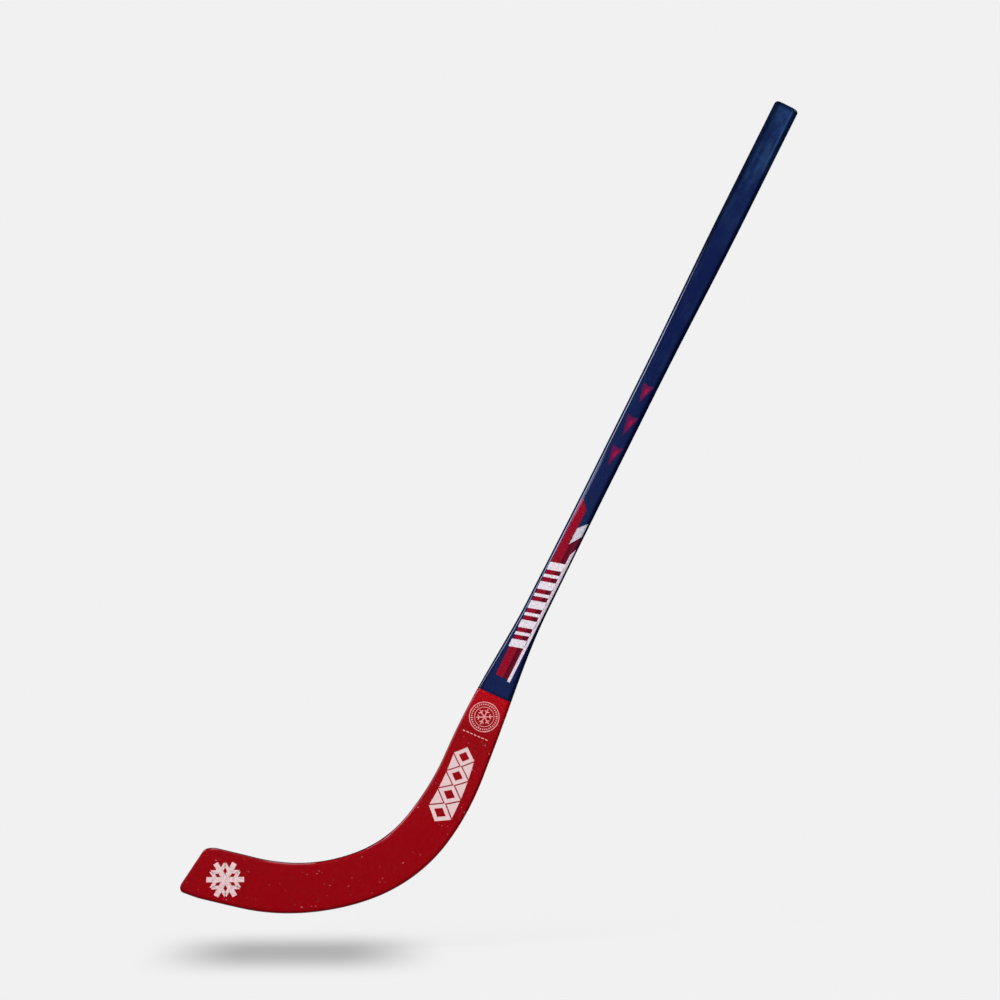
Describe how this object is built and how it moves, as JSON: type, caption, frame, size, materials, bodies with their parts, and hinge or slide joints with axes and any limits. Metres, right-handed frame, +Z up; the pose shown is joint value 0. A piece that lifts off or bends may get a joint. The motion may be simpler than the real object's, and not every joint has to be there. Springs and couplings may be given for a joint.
{
  "type": "bandy stick",
  "caption": "Laminated wooden bandy stick for striking a ball on ice, with a long bevelled blue shaft and a wide, curved red blade with a slanted toe.",
  "frame": {"origin": "middle of the grip on the shaft's centre line, 80 mm down from the butt end", "axes": "+Z up and +X from the toe towards the butt, the stick leaning as the picture shows it; +Y through the thickness, from the front face to the back"},
  "size_m": [0.6694, 0.022, 0.8806],
  "materials": {
    "blue_lacquer": "glossy dark blue lacquer over a thin glass skin",
    "red_lacquer": "glossy red lacquer over a woven glass sock, the weave just showing",
    "white_print": "white screen print under the lacquer, mottled by the weave",
    "aspen": "planed pale wood",
    "ash": "planed ash, grain along the shaft",
    "ash_ply": "bent ash ply, grain along the blade",
    "glass_laminate": "resin-wetted glass fibre, translucent and sanded"
  },
  "bodies": {
    "root": {"shaft_skin": "blue_lacquer", "blade_sock": "red_lacquer", "shaft_core": "aspen", "shaft_strip_outer": "ash", "shaft_strip_inner": "ash", "shaft_laminate_front": "glass_laminate", "shaft_laminate_back": "glass_laminate", "blade_patch_front": "glass_laminate", "blade_patch_back": "glass_laminate", "blade_ply_01": "ash_ply", "blade_ply_02": "ash_ply", "blade_ply_03": "ash_ply", "blade_ply_04": "ash_ply", "blade_ply_05": "ash_ply", "blade_ply_06": "ash_ply", "blade_ply_07": "ash_ply", "blade_ply_08": "ash_ply", "blade_ply_09": "ash_ply", "blade_ply_10": "ash_ply", "blade_ply_11": "ash_ply", "blade_ply_12": "ash_ply"}
  },
  "joints": []
}
